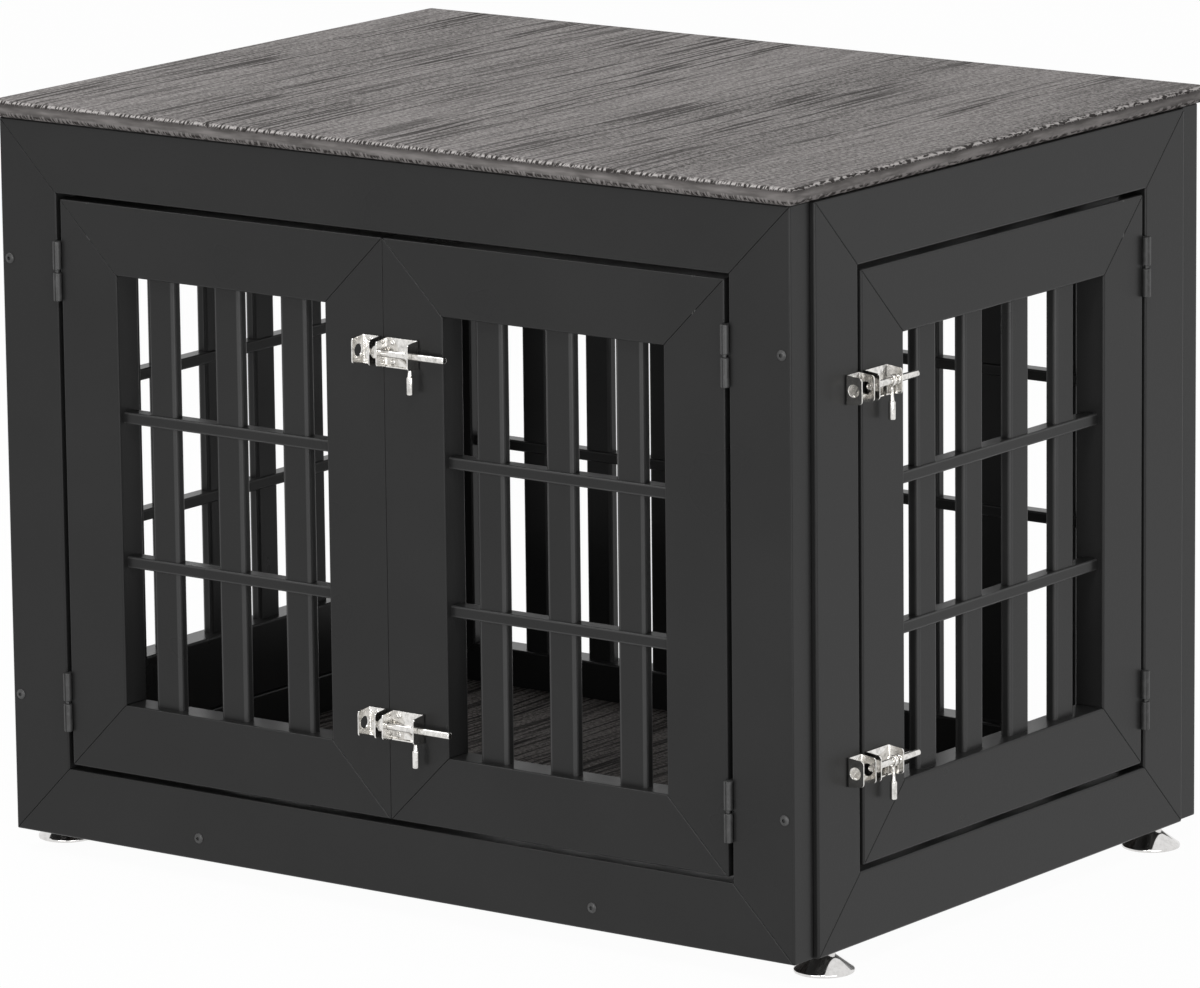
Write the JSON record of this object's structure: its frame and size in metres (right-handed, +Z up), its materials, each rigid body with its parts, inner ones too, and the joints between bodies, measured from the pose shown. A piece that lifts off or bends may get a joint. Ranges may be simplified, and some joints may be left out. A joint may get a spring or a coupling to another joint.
{
  "type": "dog crate end table",
  "caption": "Cabinet-shaped dog crate end table: mitred frames with slatted grilles, double front doors and a side door on butt hinges with barrel bolts, wood-grain top, low conical feet.",
  "frame": {"origin": "centre of the overall box, at the height of the floor it stands on", "axes": "+X to the right seen from the front, along the length; +Y to the back, so the double doors face -Y; +Z up"},
  "size_m": [0.848, 0.623, 0.6503],
  "materials": {
    "charcoal_paint": "charcoal paint, satin, over smooth boards",
    "top_wood": "grey-brown wood grain, matt, running front to back",
    "floor_wood": "dark grey-brown wood grain, matt",
    "black_metal": "black, satin",
    "nickel": "bright nickel plate on folded steel",
    "chrome": "polished"
  },
  "bodies": {
    "cabinet": {"back_panel": "charcoal_paint", "floor_board": "floor_wood", "front_frame_bottom_rail": "charcoal_paint", "front_frame_left_stile": "charcoal_paint", "front_frame_right_stile": "charcoal_paint", "front_frame_top_rail": "charcoal_paint", "left_door_lower_hinge_frame_leaf": "black_metal", "left_door_upper_hinge_frame_leaf": "black_metal", "left_fixed_panel": "charcoal_paint", "left_frame": "charcoal_paint", "right_door_lower_hinge_frame_leaf": "black_metal", "right_door_upper_hinge_frame_leaf": "black_metal", "right_frame_back_stile": "charcoal_paint", "right_frame_bottom_rail": "charcoal_paint", "right_frame_front_stile": "charcoal_paint", "right_frame_top_rail": "charcoal_paint", "side_door_lower_hinge_frame_leaf": "black_metal", "side_door_upper_hinge_frame_leaf": "black_metal", "side_lower_latch_keeper": "nickel", "side_upper_latch_keeper": "nickel", "top_board": "top_wood"},
    "left_door": {"front_lower_latch_keeper": "nickel", "front_upper_latch_keeper": "nickel", "left_door_bottom_rail": "charcoal_paint", "left_door_free_stile": "charcoal_paint", "left_door_grille": "charcoal_paint", "left_door_hinge_stile": "charcoal_paint", "left_door_lower_hinge_door_leaf": "black_metal", "left_door_top_rail": "charcoal_paint", "left_door_upper_hinge_door_leaf": "black_metal"},
    "right_door": {"front_lower_latch_body": "nickel", "front_upper_latch_body": "nickel", "right_door_bottom_rail": "charcoal_paint", "right_door_free_stile": "charcoal_paint", "right_door_grille": "charcoal_paint", "right_door_hinge_stile": "charcoal_paint", "right_door_lower_hinge_door_leaf": "black_metal", "right_door_top_rail": "charcoal_paint", "right_door_upper_hinge_door_leaf": "black_metal"},
    "side_door": {"side_door_bottom_rail": "charcoal_paint", "side_door_free_stile": "charcoal_paint", "side_door_grille": "charcoal_paint", "side_door_hinge_stile": "charcoal_paint", "side_door_lower_hinge_door_leaf": "black_metal", "side_door_top_rail": "charcoal_paint", "side_door_upper_hinge_door_leaf": "black_metal", "side_lower_latch_body": "nickel", "side_upper_latch_body": "nickel"},
    "back_left_foot": {"back_left_foot": "chrome"},
    "back_right_foot": {"back_right_foot": "chrome"},
    "front_left_foot": {"front_left_foot": "chrome"},
    "front_lower_bolt": {"front_lower_latch_bolt": "nickel"},
    "front_lower_handle": {"front_lower_latch_handle": "nickel"},
    "front_right_foot": {"front_right_foot": "chrome"},
    "front_upper_bolt": {"front_upper_latch_bolt": "nickel"},
    "front_upper_handle": {"front_upper_latch_handle": "nickel"},
    "side_lower_bolt": {"side_lower_latch_bolt": "nickel"},
    "side_lower_handle": {"side_lower_latch_handle": "nickel"},
    "side_upper_bolt": {"side_upper_latch_bolt": "nickel"},
    "side_upper_handle": {"side_upper_latch_handle": "nickel"}
  },
  "joints": [
    {"name": "left_door_hinge", "type": "hinge", "parent": "cabinet", "child": "left_door", "pos_m": [-0.3464, -0.2977, 0.325], "axis": [0, 0, -1], "range_deg": [0, 170]},
    {"name": "right_door_hinge", "type": "hinge", "parent": "cabinet", "child": "right_door", "pos_m": [0.3414, -0.2977, 0.325], "axis": [0, 0, 1], "range_deg": [0, 170]},
    {"name": "side_door_hinge", "type": "hinge", "parent": "cabinet", "child": "side_door", "pos_m": [0.4102, 0.2144, 0.325], "axis": [0, 0, 1], "range_deg": [0, 170]},
    {"name": "front_upper_bolt_slide", "type": "slide", "parent": "right_door", "child": "front_upper_bolt", "axis": [-1, 0, 0], "range_m": [0, 0.0245]},
    {"name": "front_upper_handle_turn", "type": "hinge", "parent": "front_upper_bolt", "child": "front_upper_handle", "pos_m": [0.0306, -0.3035, 0.4765], "axis": [-1, 0, 0], "range_deg": [0, 170]},
    {"name": "side_upper_bolt_slide", "type": "slide", "parent": "side_door", "child": "side_upper_bolt", "axis": [0, -1, 0], "range_m": [0, 0.0245]},
    {"name": "side_upper_handle_turn", "type": "hinge", "parent": "side_upper_bolt", "child": "side_upper_handle", "pos_m": [0.416, -0.1723, 0.4765], "axis": [0, -1, 0], "range_deg": [0, 170]},
    {"name": "front_lower_bolt_slide", "type": "slide", "parent": "right_door", "child": "front_lower_bolt", "axis": [-1, 0, 0], "range_m": [0, 0.0245]},
    {"name": "front_lower_handle_turn", "type": "hinge", "parent": "front_lower_bolt", "child": "front_lower_handle", "pos_m": [0.0306, -0.3035, 0.1635], "axis": [-1, 0, 0], "range_deg": [0, 170]},
    {"name": "side_lower_bolt_slide", "type": "slide", "parent": "side_door", "child": "side_lower_bolt", "axis": [0, -1, 0], "range_m": [0, 0.0245]},
    {"name": "side_lower_handle_turn", "type": "hinge", "parent": "side_lower_bolt", "child": "side_lower_handle", "pos_m": [0.416, -0.1723, 0.1635], "axis": [0, -1, 0], "range_deg": [0, 170]},
    {"name": "back_left_foot_level", "type": "slide", "parent": "cabinet", "child": "back_left_foot", "axis": [0, 0, -1], "range_m": [0, 0.01]},
    {"name": "back_right_foot_level", "type": "slide", "parent": "cabinet", "child": "back_right_foot", "axis": [0, 0, -1], "range_m": [0, 0.01]},
    {"name": "front_left_foot_level", "type": "slide", "parent": "cabinet", "child": "front_left_foot", "axis": [0, 0, -1], "range_m": [0, 0.01]},
    {"name": "front_right_foot_level", "type": "slide", "parent": "cabinet", "child": "front_right_foot", "axis": [0, 0, -1], "range_m": [0, 0.01]}
  ]
}
